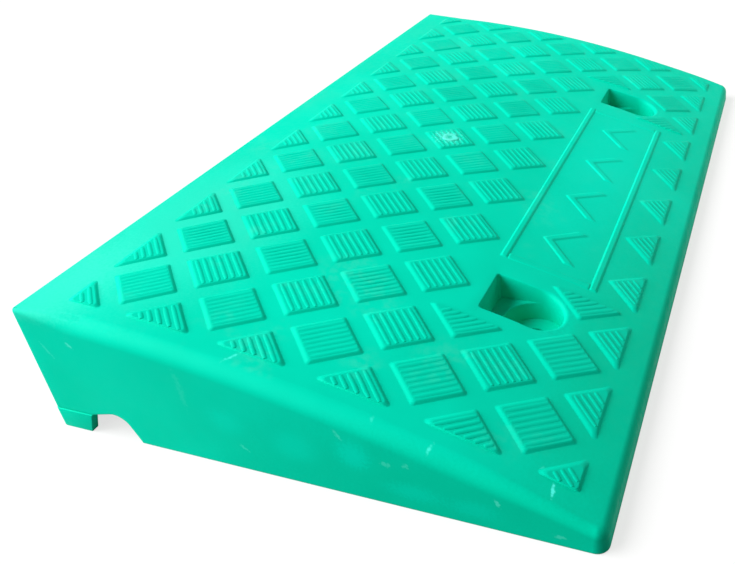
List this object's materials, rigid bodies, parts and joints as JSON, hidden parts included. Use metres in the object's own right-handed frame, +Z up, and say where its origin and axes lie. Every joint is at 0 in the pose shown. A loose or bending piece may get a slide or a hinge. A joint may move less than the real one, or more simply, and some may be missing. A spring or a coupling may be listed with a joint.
{
  "type": "kerb ramp",
  "caption": "Moulded plastic kerb ramp: a hollow convex wedge with ribbed diamond treads, recessed bolt pockets, a framed panel and a rain channel beside the kerb.",
  "frame": {"origin": "on the road, midway between the two ends and midway between the kerb face and the nose", "axes": "+X along the kerb, +Y uphill towards the kerb, +Z up"},
  "size_m": [0.49, 0.27, 0.0692],
  "materials": {
    "green_plastic": "turquoise-green moulded plastic, satin, with a fine grain",
    "gate_plastic": "the same plastic, blushed pale where it was injected"
  },
  "bodies": {
    "root": {"cross_rib_1": "green_plastic", "cross_rib_2": "green_plastic", "cross_rib_3": "green_plastic", "cross_rib_4": "green_plastic", "cross_rib_5": "green_plastic", "cross_rib_6": "green_plastic", "cross_rib_7": "green_plastic", "deck": "green_plastic", "gate_mark": "gate_plastic", "left_bolt_boss": "green_plastic", "left_bolt_pocket": "green_plastic", "left_end_wall": "green_plastic", "left_pocket_rim": "green_plastic", "left_rear_foot": "green_plastic", "long_rib_1": "green_plastic", "long_rib_2": "green_plastic", "long_rib_3": "green_plastic", "nose": "green_plastic", "panel_downhill_bar": "green_plastic", "panel_left_bar": "green_plastic", "panel_marks": "green_plastic", "panel_right_bar": "green_plastic", "panel_uphill_bar": "green_plastic", "rear_wall": "green_plastic", "right_bolt_boss": "green_plastic", "right_bolt_pocket": "green_plastic", "right_end_wall": "green_plastic", "right_pocket_rim": "green_plastic", "right_rear_foot": "green_plastic", "tread_row_01": "green_plastic", "tread_row_02": "green_plastic", "tread_row_03": "green_plastic", "tread_row_04": "green_plastic", "tread_row_05": "green_plastic", "tread_row_06": "green_plastic", "tread_row_07": "green_plastic", "tread_row_08": "green_plastic", "tread_row_09": "green_plastic", "tread_row_10": "green_plastic", "tread_row_11": "green_plastic"}
  },
  "joints": []
}
